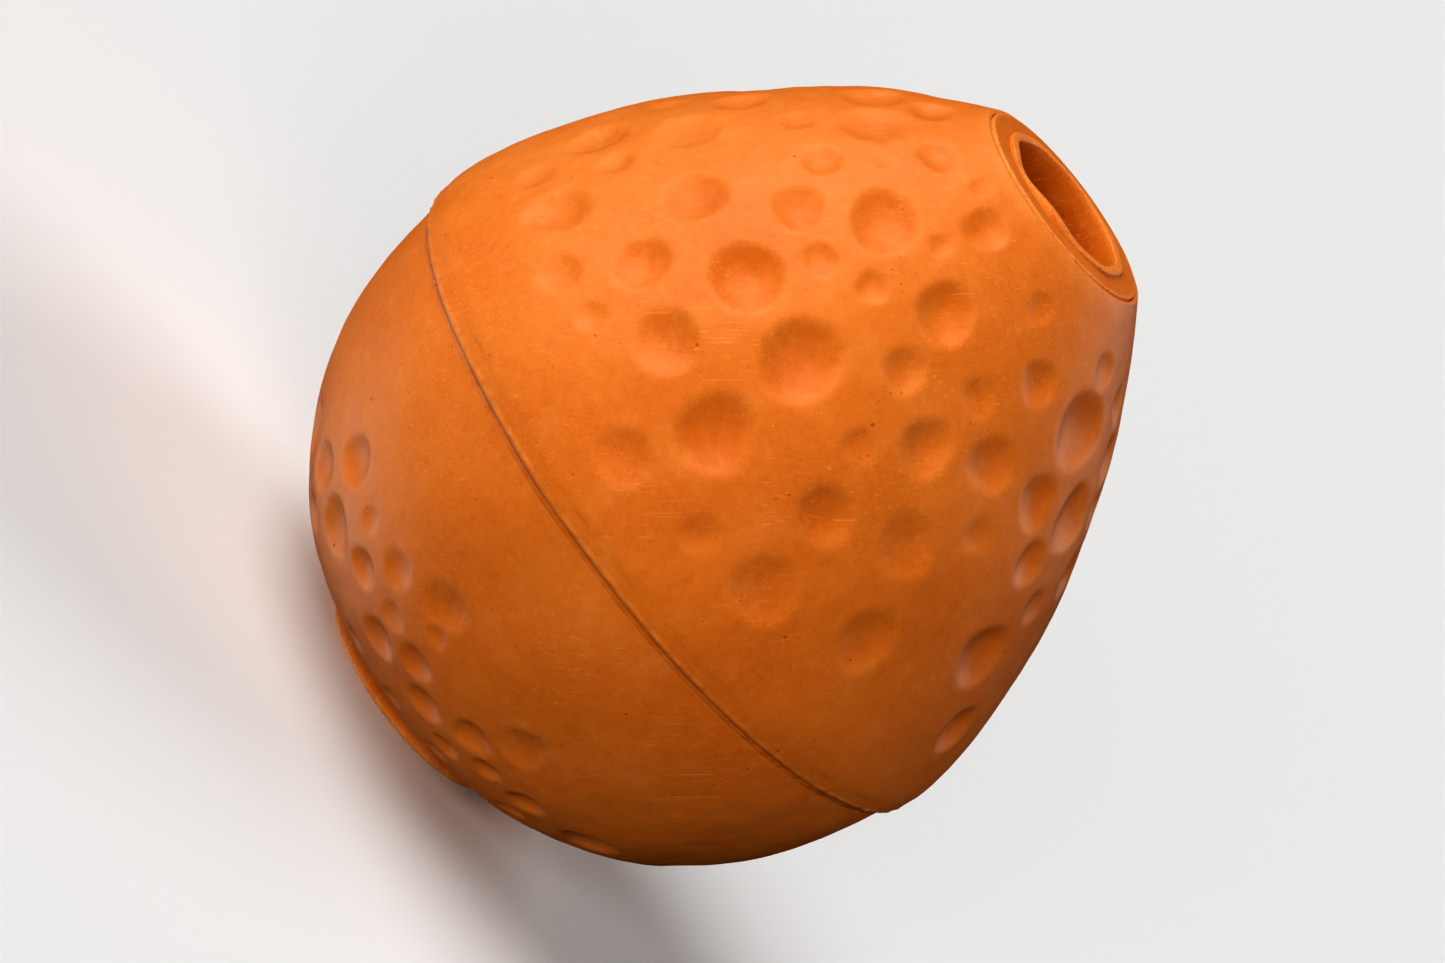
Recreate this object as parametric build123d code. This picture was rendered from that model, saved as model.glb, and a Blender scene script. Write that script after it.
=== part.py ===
from build123d import *
import math
import os
from dataclasses import dataclass

# A hollow rubber treat toy: an egg of two bonded half shells, covered in shallow craters, with a
# round treat hole in the narrow end and a pad under the wide end.
# Millimetres. +Z runs along the egg's axis towards the treat hole, and the origin is the centre of
# the pad's flat face. Azimuths are degrees round +Z, from the front (-Y) towards +X.

# ---- overall sizes ---------------------------------------------------------------------------
WIDEST_R = 45.0  # upper body, at the shoulder just above the seam
SEAM_Z = 39.0
FACE_Z = 98.3  # flat mouth face
WALL = 7.0  # both shells, measured square to the surface
BODY_PLUMP, BODY_FALL = 1.4, 1.6  # powers of the upper outline: a larger one is squarer
DOME_PLUMP, DOME_FALL = 2.8, 1.75

# ---- mouth -----------------------------------------------------------------------------------
BORE_R = 8.95  # treat hole
LIP_WIDTH = 1.3  # raised ring around the hole
LIP_HEIGHT = 0.5
SLEEVE_WALL = 3.0  # throat wall inside the shell
SLEEVE_LENGTH = 10.3  # from the mouth face down into the cavity
FLANGE_WIDTH = 1.25  # how far the flange stands out past the sleeve
FLANGE_THICK = 3.0
RIM_WIDTH = 0.5  # upper shell's own edge around the flange
RIM_DROP = 0.3  # that edge lies this far below the mouth face
MOUTH_ROUND = 0.3

# ---- seam ------------------------------------------------------------------------------------
SHOULDER_RISE = 3.0  # from the seam up to the widest level
SHOULDER_DROP = 0.65  # how far the shoulder rounds in before it meets the bead
DOME_STEP = 1.0  # the dome's own widest radius is this much less than the shoulder's
DOME_RISE = 2.3  # from the seam up to where the dome's outline would be widest
SPIGOT_WALL = 3.5  # lower shell's upstand inside the upper shell
SPIGOT_HEIGHT = 5.0
SPIGOT_LEAD = 0.6  # chamfer that leads the spigot in
BEAD_HEIGHT = 0.7  # bonding rubber squeezed out along the seam
BEAD_DEPTH = 0.85
BEAD_PROUD = 0.18

# ---- base ------------------------------------------------------------------------------------
PAD_R = 13.8
PAD_THICK = 2.0
PAD_ROUND = 0.6
PAD_SHELF = 0.3  # flat of the dome that shows around the pad
STEM_R = 6.0
VENT_R = 2.0

FIT_GAP = 0.1  # between each spigot, sleeve or stem and its hole
OUTLINE_POINTS = 15

# ---- craters ---------------------------------------------------------------------------------
# Depth of each kind of crater as a share of its width.
FAINT, PLAIN, DEEP = 0.07, 0.12, 0.17

# Each crater is (azimuth, share of the way from the widest level to the shell's end in percent,
# width), on the front half. The back half mirrors it, except for the craters at the two sides.
BODY_CRATERS = {
    FAINT: (
        (-9, 14, 7.0), (7, 17, 5.0), (20, 20, 8.5), (-41, 21, 5.5), (-66, 22, 5.0), (-31, 23, 4.0),
        (39, 27, 8.0), (33, 45, 8.0), (-84, 47, 5.0), (73, 49, 4.5), (13, 51, 4.5), (-67, 52, 8.0),
        (45, 55, 4.5), (-66, 71, 4.5), (25, 73, 5.0), (-44, 82, 2.5), (-62, 83, 8.5), (-12, 84, 3.0),
        (65, 90, 4.5), (24, 91, 4.0), (-26, 95, 3.0),
    ),
    PLAIN: (
        (74, 21, 7.0), (-54, 25, 8.0), (-4, 31, 9.5), (-21, 33, 8.0), (-73, 35, 7.5), (-36, 36, 7.0),
        (65, 37, 8.5), (-62, 38, 4.5), (18, 38, 7.0), (-46, 50, 8.0), (86, 55, 6.0), (63, 56, 5.5),
        (23, 60, 7.0), (-80, 61, 7.0), (-22, 65, 4.5), (-36, 66, 6.5), (8, 66, 5.5), (38, 66, 7.0),
        (56, 66, 6.5), (73, 66, 8.0), (89, 67, 5.0), (-11, 70, 4.0), (-48, 73, 5.0), (88, 76, 6.0),
        (62, 80, 9.5), (38, 82, 5.5), (-83, 83, 7.0), (85, 85, 4.5), (-43, 91, 5.0), (-74, 92, 5.5),
        (-10, 92, 5.5),
    ),
    DEEP: ((-25, 52, 9.0), (-6, 52, 10.0), (-25, 78, 8.5), (4, 78, 7.5)),
}  # fmt: skip
DOME_CRATERS = {
    FAINT: (
        (-8, 52, 6.5), (-30, 59, 3.5), (-19, 59, 5.0), (-5, 60, 3.5), (21, 62, 6.5), (-14, 70, 4.0),
        (-22, 92, 3.5), (18, 92, 3.5), (-2, 93, 3.5), (74, 60, 6.0), (52, 92, 3.5), (-60, 92, 3.5),
    ),
    PLAIN: (
        (-41, 54, 6.5), (-51, 68, 6.0), (-66, 69, 7.0), (-26, 71, 5.0), (-4, 73, 5.0), (-39, 74, 7.0),
        (15, 74, 5.5), (54, 74, 7.0), (36, 78, 5.0), (24, 79, 4.0), (-14, 81, 5.5), (4, 81, 5.5),
        (-53, 82, 5.0), (16, 86, 4.0), (80, 76, 5.5), (-83, 80, 5.0), (67, 84, 4.5), (42, 87, 4.0),
    ),
}  # fmt: skip
MIRROR_LIMIT = 80  # craters further round than this straddle the sides, and have no mirror image


@dataclass(frozen=True)
class Outline:
    """Half of the egg's outline: a superellipse from its widest level to the radius it ends at.

    (radius / widest_r) ** plump + (rise / reach) ** fall = 1
    """

    widest_r: float
    widest_z: float
    end_r: float
    end_z: float
    plump: float
    fall: float

    @property
    def reach(self):
        """Signed height from the widest level to where the curve would close on the axis."""
        share = (1 - (self.end_r / self.widest_r) ** self.plump) ** (1 / self.fall)
        return (self.end_z - self.widest_z) / share

    def radius(self, z):
        """Outer radius at height z."""
        climb = abs((z - self.widest_z) / self.reach)
        return self.widest_r * (1 - climb**self.fall) ** (1 / self.plump)

    def normal(self, z):
        """Unit vector (r, z) that points out of the surface at height z."""
        climb = abs((z - self.widest_z) / self.reach)
        out = self.plump * (self.radius(z) / self.widest_r) ** (self.plump - 1) / self.widest_r
        along = self.fall * climb ** (self.fall - 1) / self.reach
        size = math.hypot(out, along)
        return out / size, along / size

    def heights(self, first_z):
        """Heights from first_z to the end, closer together towards the end, where it turns most."""
        steps = [math.sin(math.pi / 2 * i / (OUTLINE_POINTS - 1)) for i in range(OUTLINE_POINTS)]
        return [first_z + (self.end_z - first_z) * step for step in steps]

    def outer(self, first_z):
        """Points (r, z) on the outside, from first_z to the end."""
        return [(self.radius(z), z) for z in self.heights(first_z)]

    def inner(self, first_z):
        """The same points moved in by the wall."""
        points = []
        for z in self.heights(first_z):
            out, along = self.normal(z)
            points.append((self.radius(z) - WALL * out, z - WALL * along))
        return points


sleeve_r = BORE_R + SLEEVE_WALL
flange_r = sleeve_r + FLANGE_WIDTH
rim_r = flange_r + FIT_GAP + RIM_WIDTH
rim_z = FACE_Z - RIM_DROP
widest_z = SEAM_Z + SHOULDER_RISE
body = Outline(WIDEST_R, widest_z, rim_r, rim_z, BODY_PLUMP, BODY_FALL)
dome = Outline(
    WIDEST_R - DOME_STEP, SEAM_Z + DOME_RISE, PAD_R + PAD_SHELF, PAD_THICK, DOME_PLUMP, DOME_FALL
)

sleeve_z = FACE_Z - SLEEVE_LENGTH
flange_z = FACE_Z - FLANGE_THICK
edge_r = WIDEST_R - SHOULDER_DROP
bead_top = SEAM_Z + BEAD_HEIGHT
bead_r = edge_r - BEAD_DEPTH
cavity_r = dome.inner(SEAM_Z)[0][0]
floor_z = dome.inner(SEAM_Z)[-1][1]
spigot_r = cavity_r + SPIGOT_WALL
spigot_top = SEAM_Z + SPIGOT_HEIGHT


def block(r0, z0, r1, z1):
    """Rectangle of the half section between two radii and two heights."""
    return Pos((r0 + r1) / 2, (z0 + z1) / 2) * Rectangle(r1 - r0, z1 - z0)


def turned(section):
    """Solid of revolution about +Z of a section drawn as (radius, height)."""
    return revolve(Plane.XZ * section, Axis.Z)


def crater_tools(outline, craters):
    """Balls that press each crater into the surface of one half."""
    tools = []
    for depth_share, places in craters.items():
        for azimuth, percent, width in places:
            depth = depth_share * width
            ball_r = (width**2 / 4 + depth**2) / (2 * depth)
            z = outline.widest_z + percent / 100 * (outline.end_z - outline.widest_z)
            out, along = outline.normal(z)
            lift = ball_r - depth
            centre_r = outline.radius(z) + lift * out
            x = centre_r * math.sin(math.radians(azimuth))
            y = centre_r * math.cos(math.radians(azimuth))
            for side in (-y, y) if abs(azimuth) <= MIRROR_LIMIT else (-y,):
                tools.append(Pos(x, side, z + lift * along) * Sphere(ball_r))
    return tools


def make_upper_shell():
    """Tapered body: open at the seam, with a rebate for the spigot and a stepped hole for the throat."""
    outside = body.outer(widest_z)
    edge = (edge_r, bead_top)
    outer = make_face(
        Curve()
        + Polyline((0, rim_z), (0, SEAM_Z), (edge_r, SEAM_Z), edge)
        + TangentArc((WIDEST_R, widest_z), edge, tangent=(0, -1))
        + Spline(outside, tangents=((0, 1), Vector(*outside[-1]) - Vector(*outside[-2])))
        + Line(outside[-1], (0, rim_z))
    )
    inside = body.inner(widest_z)
    cavity = make_face(
        Curve()
        + Polyline(inside[-1], (0, inside[-1][1]), (0, SEAM_Z), (inside[0][0], SEAM_Z), inside[0])
        + Spline(inside)
    )
    section = outer - cavity
    section -= block(0, SEAM_Z, spigot_r + FIT_GAP, spigot_top + FIT_GAP)
    section -= block(bead_r, SEAM_Z, WIDEST_R, bead_top)
    section -= block(0, SEAM_Z, sleeve_r + FIT_GAP, FACE_Z)
    section -= block(0, flange_z, flange_r + FIT_GAP, FACE_Z)
    return turned(section) - crater_tools(body, BODY_CRATERS)


def make_lower_shell():
    """Dome with a flat seat and a hole for the base plug, and the spigot that centres the body."""
    outside = dome.outer(SEAM_Z)
    outer = make_face(
        Curve()
        + Polyline(outside[-1], (0, PAD_THICK), (0, SEAM_Z), outside[0])
        + Spline(outside)
    )
    inside = dome.inner(SEAM_Z)
    cavity = make_face(
        Curve()
        + Polyline(inside[-1], (0, floor_z), (0, spigot_top), (cavity_r, spigot_top), inside[0])
        + Spline(inside)
    )
    spigot = block(0, SEAM_Z, spigot_r, spigot_top)
    corner = spigot.vertices().sort_by(SortBy.DISTANCE)[-1]
    section = outer + chamfer(corner, SPIGOT_LEAD) - cavity
    section -= block(0, PAD_THICK, STEM_R + FIT_GAP, SEAM_Z)
    return turned(section) - crater_tools(dome, DOME_CRATERS)


def make_seam_bead():
    """Thin ring in the corner under the shoulder, bulging slightly past both shells."""
    foot = (dome.radius(SEAM_Z) + BEAD_PROUD, SEAM_Z)
    crown = (edge_r, bead_top)
    section = make_face(
        Curve()
        + Polyline(crown, (bead_r, bead_top), (bead_r, SEAM_Z), foot)
        + SagittaArc(foot, crown, -BEAD_PROUD)
    )
    return turned(section)


def make_mouth_ring():
    """Flanged throat insert: flat face, raised lip, and the treat hole right through it."""
    lip_r = BORE_R + LIP_WIDTH
    lip_top = FACE_Z + LIP_HEIGHT
    section = block(BORE_R, sleeve_z, sleeve_r, FACE_Z)
    section += block(BORE_R, flange_z, flange_r, FACE_Z)
    section += block(BORE_R, FACE_Z, lip_r, lip_top)
    rounded = [
        vertex
        for vertex in section.vertices()
        if vertex.Y >= FACE_Z - 1e-6 and not (abs(vertex.X - lip_r) < 1e-6 and vertex.Y < lip_top - 1e-6)
    ]
    return turned(fillet(rounded, MOUTH_ROUND))


def make_base_plug():
    """Round pad that the toy stands on, with a vented stem that closes the dome."""
    section = block(VENT_R, 0, PAD_R, PAD_THICK) + block(VENT_R, 0, STEM_R, floor_z)
    foot = section.vertices().sort_by(Axis.Y)[:2].sort_by(Axis.X)[-1]
    return turned(fillet(foot, PAD_ROUND))


os.makedirs("parts", exist_ok=True)
for node, make in (
    ("upper_shell", make_upper_shell),
    ("lower_shell", make_lower_shell),
    ("seam_bead", make_seam_bead),
    ("mouth_ring", make_mouth_ring),
    ("base_plug", make_base_plug),
):
    export_step(make(), f"parts/{node}.step")
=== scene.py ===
"""Hollow rubber treat toy: surfaces, finishes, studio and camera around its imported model.

Sizes are millimetres until a piece is finished, and MM then turns them into metres. +Z is the
toy's axis, towards the treat hole. Azimuths are degrees round it, from the front (-Y) towards +X.
"""

import logging
import math
from dataclasses import dataclass
from enum import Enum

import bmesh
import bpy
import numpy as np
from mathutils import Matrix, Vector


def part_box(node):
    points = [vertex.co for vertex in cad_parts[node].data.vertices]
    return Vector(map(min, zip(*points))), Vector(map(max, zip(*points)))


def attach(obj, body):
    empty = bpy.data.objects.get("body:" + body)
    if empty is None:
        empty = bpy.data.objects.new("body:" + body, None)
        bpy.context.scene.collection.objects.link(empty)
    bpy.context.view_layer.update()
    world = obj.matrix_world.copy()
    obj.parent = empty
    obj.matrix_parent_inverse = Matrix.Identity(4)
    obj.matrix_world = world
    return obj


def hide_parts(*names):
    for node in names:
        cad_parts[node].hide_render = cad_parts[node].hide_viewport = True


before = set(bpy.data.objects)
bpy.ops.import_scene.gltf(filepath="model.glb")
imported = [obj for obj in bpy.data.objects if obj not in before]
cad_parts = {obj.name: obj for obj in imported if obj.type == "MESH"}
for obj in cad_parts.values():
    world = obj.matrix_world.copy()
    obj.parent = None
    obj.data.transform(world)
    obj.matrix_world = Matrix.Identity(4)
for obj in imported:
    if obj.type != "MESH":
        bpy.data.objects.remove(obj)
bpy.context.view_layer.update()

log = logging.getLogger("treat_toy")

MM = 0.001
FULL_TURN = 2 * math.pi


class Press(Enum):
    """How hard a crater is pressed in: its depth as a share of its width."""

    FAINT = 0.10
    PLAIN = 0.15
    DEEP = 0.19


class Slot(Enum):
    """Material slots of the record."""

    MOULDED = "moulded_rubber"
    BONDING = "bonding_rubber"


# Each crater is (azimuth, share of the way from the widest level to the shell's end in percent,
# width), on the front half. The back half mirrors it, except for the craters at the two sides.
BODY_CRATERS = {
    Press.FAINT: (
        (-9, 14, 7.0), (7, 17, 5.0), (20, 20, 8.5), (-41, 21, 5.5), (-66, 22, 5.0), (-31, 23, 4.0),
        (39, 27, 8.0), (33, 45, 8.0), (-84, 47, 5.0), (73, 49, 4.5), (13, 51, 4.5), (-67, 52, 8.0),
        (45, 55, 4.5), (-66, 71, 4.5), (25, 73, 5.0), (-44, 82, 2.5), (-62, 83, 8.5),
        (-12, 84, 3.0), (65, 90, 4.5), (24, 91, 4.0), (-26, 95, 3.0),
    ),
    Press.PLAIN: (
        (74, 21, 7.0), (-54, 25, 8.0), (-4, 31, 9.5), (-21, 33, 8.0), (-73, 35, 7.5),
        (-36, 36, 7.0), (65, 37, 8.5), (-62, 38, 4.5), (18, 38, 7.0), (-46, 50, 8.0),
        (86, 55, 6.0), (63, 56, 5.5), (23, 60, 7.0), (-80, 61, 7.0), (-22, 65, 4.5),
        (-36, 66, 6.5), (8, 66, 5.5), (38, 66, 7.0), (56, 66, 6.5), (73, 66, 8.0), (89, 67, 5.0),
        (-11, 70, 4.0), (-48, 73, 5.0), (88, 76, 6.0), (62, 80, 9.5), (38, 82, 5.5),
        (-83, 83, 7.0), (85, 85, 4.5), (-43, 91, 5.0), (-74, 92, 5.5), (-10, 92, 5.5),
    ),
    Press.DEEP: ((-25, 52, 9.0), (-6, 52, 10.0), (-25, 78, 8.5), (4, 78, 7.5)),
}  # fmt: skip
DOME_CRATERS = {
    Press.FAINT: (
        (-8, 52, 6.5), (-30, 59, 3.5), (-19, 59, 5.0), (-5, 60, 3.5), (21, 62, 6.5),
        (-14, 70, 4.0), (-22, 92, 3.5), (18, 92, 3.5), (-2, 93, 3.5), (74, 60, 6.0), (52, 92, 3.5),
        (-60, 92, 3.5),
    ),
    Press.PLAIN: (
        (-41, 54, 6.5), (-51, 68, 6.0), (-66, 69, 7.0), (-26, 71, 5.0), (-4, 73, 5.0),
        (-39, 74, 7.0), (15, 74, 5.5), (54, 74, 7.0), (36, 78, 5.0), (24, 79, 4.0), (-14, 81, 5.5),
        (4, 81, 5.5), (-53, 82, 5.0), (16, 86, 4.0), (80, 76, 5.5), (-83, 80, 5.0), (67, 84, 4.5),
        (42, 87, 4.0),
    ),
}  # fmt: skip


class Waves:
    """Smooth, seeded unevenness: plane waves in many directions, all of about one length."""

    COUNT = 24

    def __init__(self, seed: int, length: float) -> None:
        """Draws the waves.

        Args:
            seed: Fixes the pattern.
            length: Middle wavelength in millimetres.
        """
        draw = np.random.default_rng(seed)
        directions = draw.normal(size=(self.COUNT, 3))
        directions /= np.linalg.norm(directions, axis=1, keepdims=True)
        stretch = draw.uniform(0.6, 1.6, size=(self.COUNT, 1))
        self.waves = directions * stretch * FULL_TURN / length
        self.phases = draw.uniform(0, FULL_TURN, self.COUNT)

    def at(self, points: np.ndarray) -> np.ndarray:
        """Gives the unevenness, with a spread of about 1.

        Args:
            points: Rows of x, y, z in millimetres.

        Returns:
            One value for each point.
        """
        total = np.sin(points @ self.waves.T + self.phases).sum(axis=1)
        return total / math.sqrt(self.COUNT / 2)


@dataclass(frozen=True)
class Outline:
    """Half of the egg's outline: a superellipse from its widest level to the radius it ends at.

    (radius / widest_r) ** plump + (rise / reach) ** fall = 1
    """

    widest_r: float
    widest_z: float
    end_r: float
    end_z: float
    plump: float
    fall: float

    @property
    def reach(self) -> float:
        """Signed height from the widest level to where the curve would close on the axis."""
        share = (1 - (self.end_r / self.widest_r) ** self.plump) ** (1 / self.fall)
        return (self.end_z - self.widest_z) / share

    def climb(self, z: np.ndarray) -> np.ndarray:
        """Height above or below the widest level as a share of the reach."""
        limits = sorted((0, self.end_z - self.widest_z))
        return np.clip(np.asarray(z) - self.widest_z, *limits) / self.reach

    def radius(self, z: np.ndarray) -> np.ndarray:
        """Outer radius at each height."""
        return self.widest_r * (1 - self.climb(z) ** self.fall) ** (1 / self.plump)

    def normal(self, z: np.ndarray) -> np.ndarray:
        """Unit vectors (r, z) that point out of the surface at each height."""
        out = self.plump * (self.radius(z) / self.widest_r) ** (self.plump - 1) / self.widest_r
        along = self.fall * self.climb(z) ** (self.fall - 1) / self.reach
        return np.stack([out, along], axis=-1) / np.hypot(out, along)[..., None]

    def heights(self, first_z: float, last_z: float, count: int) -> np.ndarray:
        """Spaces heights evenly along the surface.

        Args:
            first_z: Where to start.
            last_z: Where to stop.
            count: How many gaps between the heights.

        Returns:
            count + 1 heights, the two ends among them.
        """
        fine = first_z + (last_z - first_z) * np.sin(np.linspace(0, math.pi / 2, 40 * count))
        steps = np.hypot(np.diff(fine), np.diff(self.radius(fine)))
        length = np.concatenate([[0], np.cumsum(steps)])
        return np.interp(np.linspace(0, length[-1], count + 1), length, fine)

    def outer(self, first_z: float, rows: int) -> np.ndarray:
        """Points (r, z) on the outside, from first_z to the end."""
        z = self.heights(first_z, self.end_z, rows)
        return np.stack([self.radius(z), z], axis=1)

    def inner(self, first_z: float, rows: int, wall: float) -> np.ndarray:
        """Points (r, z) on the inside of a wall, from first_z to the end."""
        points = self.outer(first_z, rows)
        return points - wall * self.normal(points[:, 1])


class CraterField:
    """Craters of one shell, each a soft-edged bowl that isn't quite round."""

    MIRROR_LIMIT = 80  # craters further round than this have no mirror image
    SOFTNESS = 10.0  # a larger number makes a crisper edge
    BLEND = 4.0  # power that joins craters where they meet
    WOBBLE = 0.05  # how far a crater is from round
    REACH = 1.5  # how far out from its middle a crater still tells, in radii

    def __init__(self, outline: Outline, places: dict[Press, tuple], seed: int) -> None:
        """Lays out the craters.

        Args:
            outline: The surface they are pressed into.
            places: For each kind of crater, its (azimuth, percent, width) rows.
            seed: Fixes how each one wobbles.
        """
        self.outline = outline
        self.draw = np.random.default_rng(seed)
        self.craters = []
        for press, rows in places.items():
            for azimuth, percent, width in rows:
                z = outline.widest_z + percent / 100 * (outline.end_z - outline.widest_z)
                self.craters.append((press, azimuth, z, width))
                if abs(azimuth) <= self.MIRROR_LIMIT:
                    self.craters.append((press, 180 - azimuth, z, width))

    def depths(self, points: np.ndarray) -> tuple[np.ndarray, np.ndarray]:
        """Works out how deep each point is pressed in.

        Args:
            points: Rows of x, y, z on the unpressed surface.

        Returns:
            The depth at each point in millimetres, and how near it is to a crater's edge (0 to 1).
        """
        total = np.zeros(len(points))
        edge = np.zeros(len(points))
        for press, azimuth, z, width in self.craters:
            turn = math.radians(azimuth)
            out, along = self.outline.normal(z)
            radius = float(self.outline.radius(z))
            centre = np.array([radius * math.sin(turn), -radius * math.cos(turn), z])
            normal = np.array([out * math.sin(turn), -out * math.cos(turn), along])
            sideways = np.array([math.cos(turn), math.sin(turn), 0.0])
            lobes = self.draw.uniform(-1, 1, size=(2, 2)) * self.WOBBLE
            offset = points - centre
            distance = np.linalg.norm(offset, axis=1)
            near = distance < self.REACH * width / 2
            angle = np.arctan2(offset[near] @ np.cross(normal, sideways), offset[near] @ sideways)
            shape = 1 + sum(
                lobe[0] * np.cos(n * angle) + lobe[1] * np.sin(n * angle)
                for n, lobe in zip((2, 3), lobes)
            )
            share = distance[near] / (width / 2 * shape)
            bowl = np.log1p(np.exp(self.SOFTNESS * (1 - share**2))) / self.SOFTNESS
            total[near] += (press.value * width * bowl) ** self.BLEND
            edge[near] = np.maximum(edge[near], np.exp(-(((share - 1) / 0.16) ** 2)))
        return total ** (1 / self.BLEND), edge


class HalfSection:
    """A closed outline in the plane of radius and height, which spins into a piece."""

    ROUND_SEGMENTS = 4
    MERGE = 0.001  # points closer than this are one

    def __init__(self) -> None:
        """Starts with no corners."""
        self.bm = bmesh.new()
        self.corners: list[Vector] = []
        self.rounded: list[tuple[Vector, float]] = []

    def vert(self, place: Vector) -> bmesh.types.BMVert:
        """The section's point that lies at a place."""
        return min(self.bm.verts, key=lambda vert: (vert.co - place).length_squared)

    def corner(self, r: float, z: float, rounding: float = 0.0) -> "HalfSection":
        """Adds a corner at the end of a straight side, with a radius if it is rounded."""
        place = Vector((float(r), 0.0, float(z)))
        made = self.bm.verts.new(place)
        if self.corners:
            self.bm.edges.new((self.vert(self.corners[-1]), made))
        if rounding:
            self.rounded.append((place, rounding))
        self.corners.append(place)
        return self

    def curve(self, points: np.ndarray, rounding: float = 0.0) -> "HalfSection":
        """Adds a side that follows a curve.

        Args:
            points: Rows of (r, z); the first is the corner that is already there.
            rounding: Radius of the corner at the far end.

        Returns:
            This section.
        """
        self.corner(*points[-1], rounding)
        start, end = self.corners[-2:]
        side = self.bm.edges.get((self.vert(start), self.vert(end)))
        made = bmesh.ops.subdivide_edges(self.bm, edges=[side], cuts=len(points) - 2)
        inner = [each for each in made["geom_inner"] if isinstance(each, bmesh.types.BMVert)]
        inner.sort(key=lambda vert: (vert.co - start).dot(end - start))
        for vert, (r, z) in zip(inner, points[1:-1]):
            vert.co = (float(r), 0.0, float(z))
        return self

    def spin(self, steps: int) -> bpy.types.Mesh:
        """Closes the section, rounds its corners and turns it about +Z.

        A quarter turn is spun, then mirrored across the two upright planes.

        Args:
            steps: How many steps a full turn takes, a multiple of four.

        Returns:
            The closed mesh, in millimetres.
        """
        self.bm.edges.new((self.vert(self.corners[-1]), self.vert(self.corners[0])))
        for place, rounding in self.rounded:
            bmesh.ops.bevel(
                self.bm,
                geom=[self.vert(place)],
                offset=rounding,
                offset_type="OFFSET",
                affect="VERTICES",
                segments=self.ROUND_SEGMENTS, profile=0.5, material=-1,
            )  # fmt: skip
        bmesh.ops.spin(
            self.bm, geom=self.bm.verts[:] + self.bm.edges[:], cent=(0, 0, 0), axis=(0, 0, 1),
            angle=FULL_TURN / 4, steps=steps // 4, use_merge=False,
        )  # fmt: skip
        for axis in "YX":
            whole = self.bm.verts[:] + self.bm.edges[:] + self.bm.faces[:]
            bmesh.ops.mirror(self.bm, geom=whole, axis=axis, merge_dist=self.MERGE)
        bmesh.ops.recalc_face_normals(self.bm, faces=self.bm.faces[:])
        mesh = bpy.data.meshes.new("spun")
        self.bm.to_mesh(mesh)
        self.bm.free()
        return mesh


class Signal:
    """A shader socket that takes part in arithmetic by adding the Math nodes that it needs."""

    def __init__(self, bench: "NodeBench", socket: bpy.types.NodeSocket) -> None:
        """Wraps a socket of the bench's node tree."""
        self.bench = bench
        self.socket = socket

    def _math(self, operation: str, *values: "Signal | float") -> "Signal":
        """Adds one Math node."""
        return self.bench.node("ShaderNodeMath", {"operation": operation}, dict(enumerate(values)))

    def __add__(self, other: "Signal | float") -> "Signal":
        """Sum."""
        return self._math("ADD", self, other)

    def __sub__(self, other: "Signal | float") -> "Signal":
        """Difference."""
        return self._math("SUBTRACT", self, other)

    def __rsub__(self, other: float) -> "Signal":
        """Difference from a number."""
        return self._math("SUBTRACT", other, self)

    def __mul__(self, other: "Signal | float") -> "Signal":
        """Product."""
        return self._math("MULTIPLY", self, other)

    def __pow__(self, other: "Signal | float") -> "Signal":
        """Power."""
        return self._math("POWER", self, other)

    __radd__ = __add__
    __rmul__ = __mul__

    def between(self, low: float, high: float) -> "Signal":
        """Rises smoothly from 0 at low to 1 at high, or falls where low is the larger."""
        return self.bench.node(
            "ShaderNodeMapRange",
            {"interpolation_type": "SMOOTHSTEP"},
            {"Value": self, "From Min": low, "From Max": high},
        )


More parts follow.
